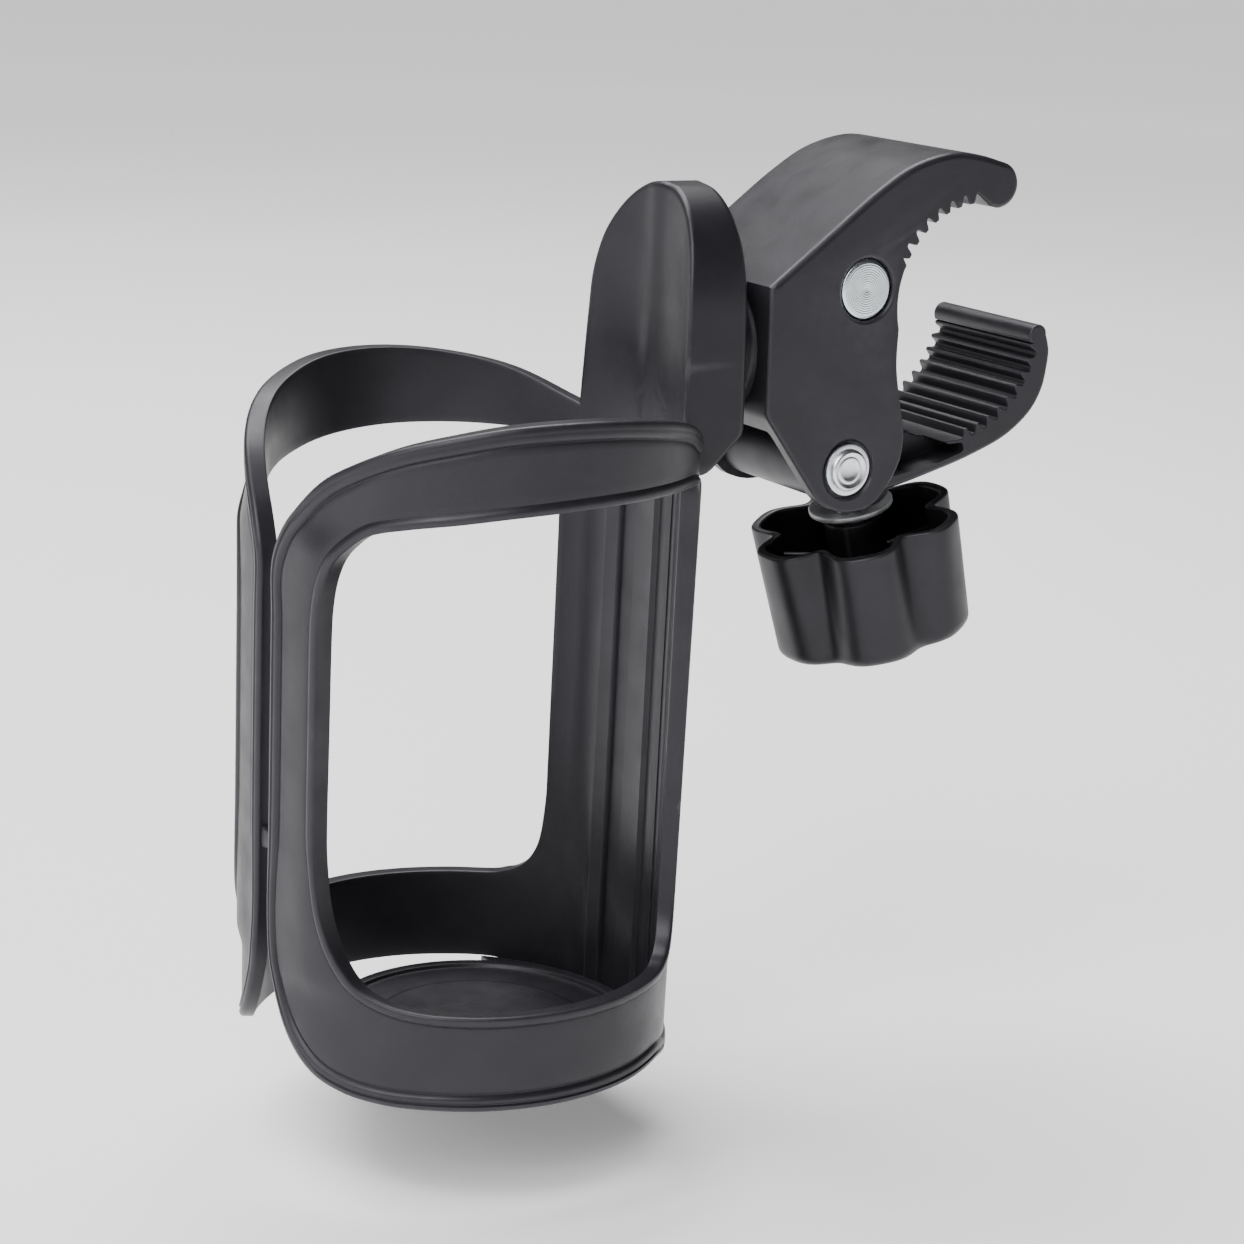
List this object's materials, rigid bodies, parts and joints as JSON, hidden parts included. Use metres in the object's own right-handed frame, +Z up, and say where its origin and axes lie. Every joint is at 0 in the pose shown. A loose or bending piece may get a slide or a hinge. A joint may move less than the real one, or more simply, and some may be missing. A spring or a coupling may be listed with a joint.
{
  "type": "clamp-on bottle cage",
  "caption": "Two-winged bottle cage on a tab that swivels on a screw clamp with a toothed hook, a pivoting lower jaw and a lobed hand knob.",
  "frame": {"origin": "on the axis of the tube that the fixed jaw wraps, in the middle of the clamp's width", "axes": "+Z up along the bottle's axis, +X from the bottle cage towards the clamp's mouth, +Y along the gripped tube"},
  "size_m": [0.1544, 0.079, 0.1667],
  "materials": {
    "black_plastic": "matte",
    "knob_plastic": "satin",
    "plated_steel": "satin",
    "brass": "satin",
    "rubber": "matte"
  },
  "bodies": {
    "clamp": {"clamp_body": "black_plastic", "pivot_rivet": "plated_steel", "rivet_washers": "plated_steel"},
    "cage": {"bottle_cage": "black_plastic", "swivel_insert": "brass", "swivel_bolt": "plated_steel", "friction_pad": "rubber", "swivel_flat_washer": "plated_steel", "swivel_spring_washer": "plated_steel"},
    "jaw": {"lower_jaw": "black_plastic"},
    "nut": {"barrel_nut": "plated_steel"},
    "washer": {"dished_washer": "plated_steel"},
    "screw": {"clamp_screw": "plated_steel", "knob": "knob_plastic"}
  },
  "joints": [
    {"name": "cage_swivel", "type": "hinge", "parent": "clamp", "child": "cage", "pos_m": [-0.0492, 0, -0.0086], "axis": [1, 0, 0], "continuous": true},
    {"name": "jaw_swing", "type": "hinge", "parent": "clamp", "child": "jaw", "pos_m": [-0.0263, 0, -0.0301], "axis": [0, -1, 0], "range_deg": [-8.2, 24.6]},
    {"name": "nut_rock", "type": "hinge", "parent": "clamp", "child": "nut", "pos_m": [-0.0246, 0, 0.0025], "axis": [0, -1, 0], "range_deg": [-2.8, 8]},
    {"name": "washer_slide", "type": "slide", "parent": "nut", "child": "washer", "axis": [-0.2744, 0, 0.9616], "range_m": [-0.00169, 0.00506]},
    {"name": "knob_turn", "type": "hinge", "parent": "washer", "child": "screw", "pos_m": [-0.0123, 0, -0.0406], "axis": [-0.2744, 0, 0.9616], "range_deg": [-610, 1824]}
  ],
  "couplings": [
    {"joint": "knob_turn", "follows": "washer_slide", "rad_per_m": 6283.2},
    {"joint": "jaw_swing", "follows": "washer_slide", "rad_per_m": 82.017},
    {"joint": "nut_rock", "follows": "washer_slide", "rad_per_m": 21.325}
  ]
}
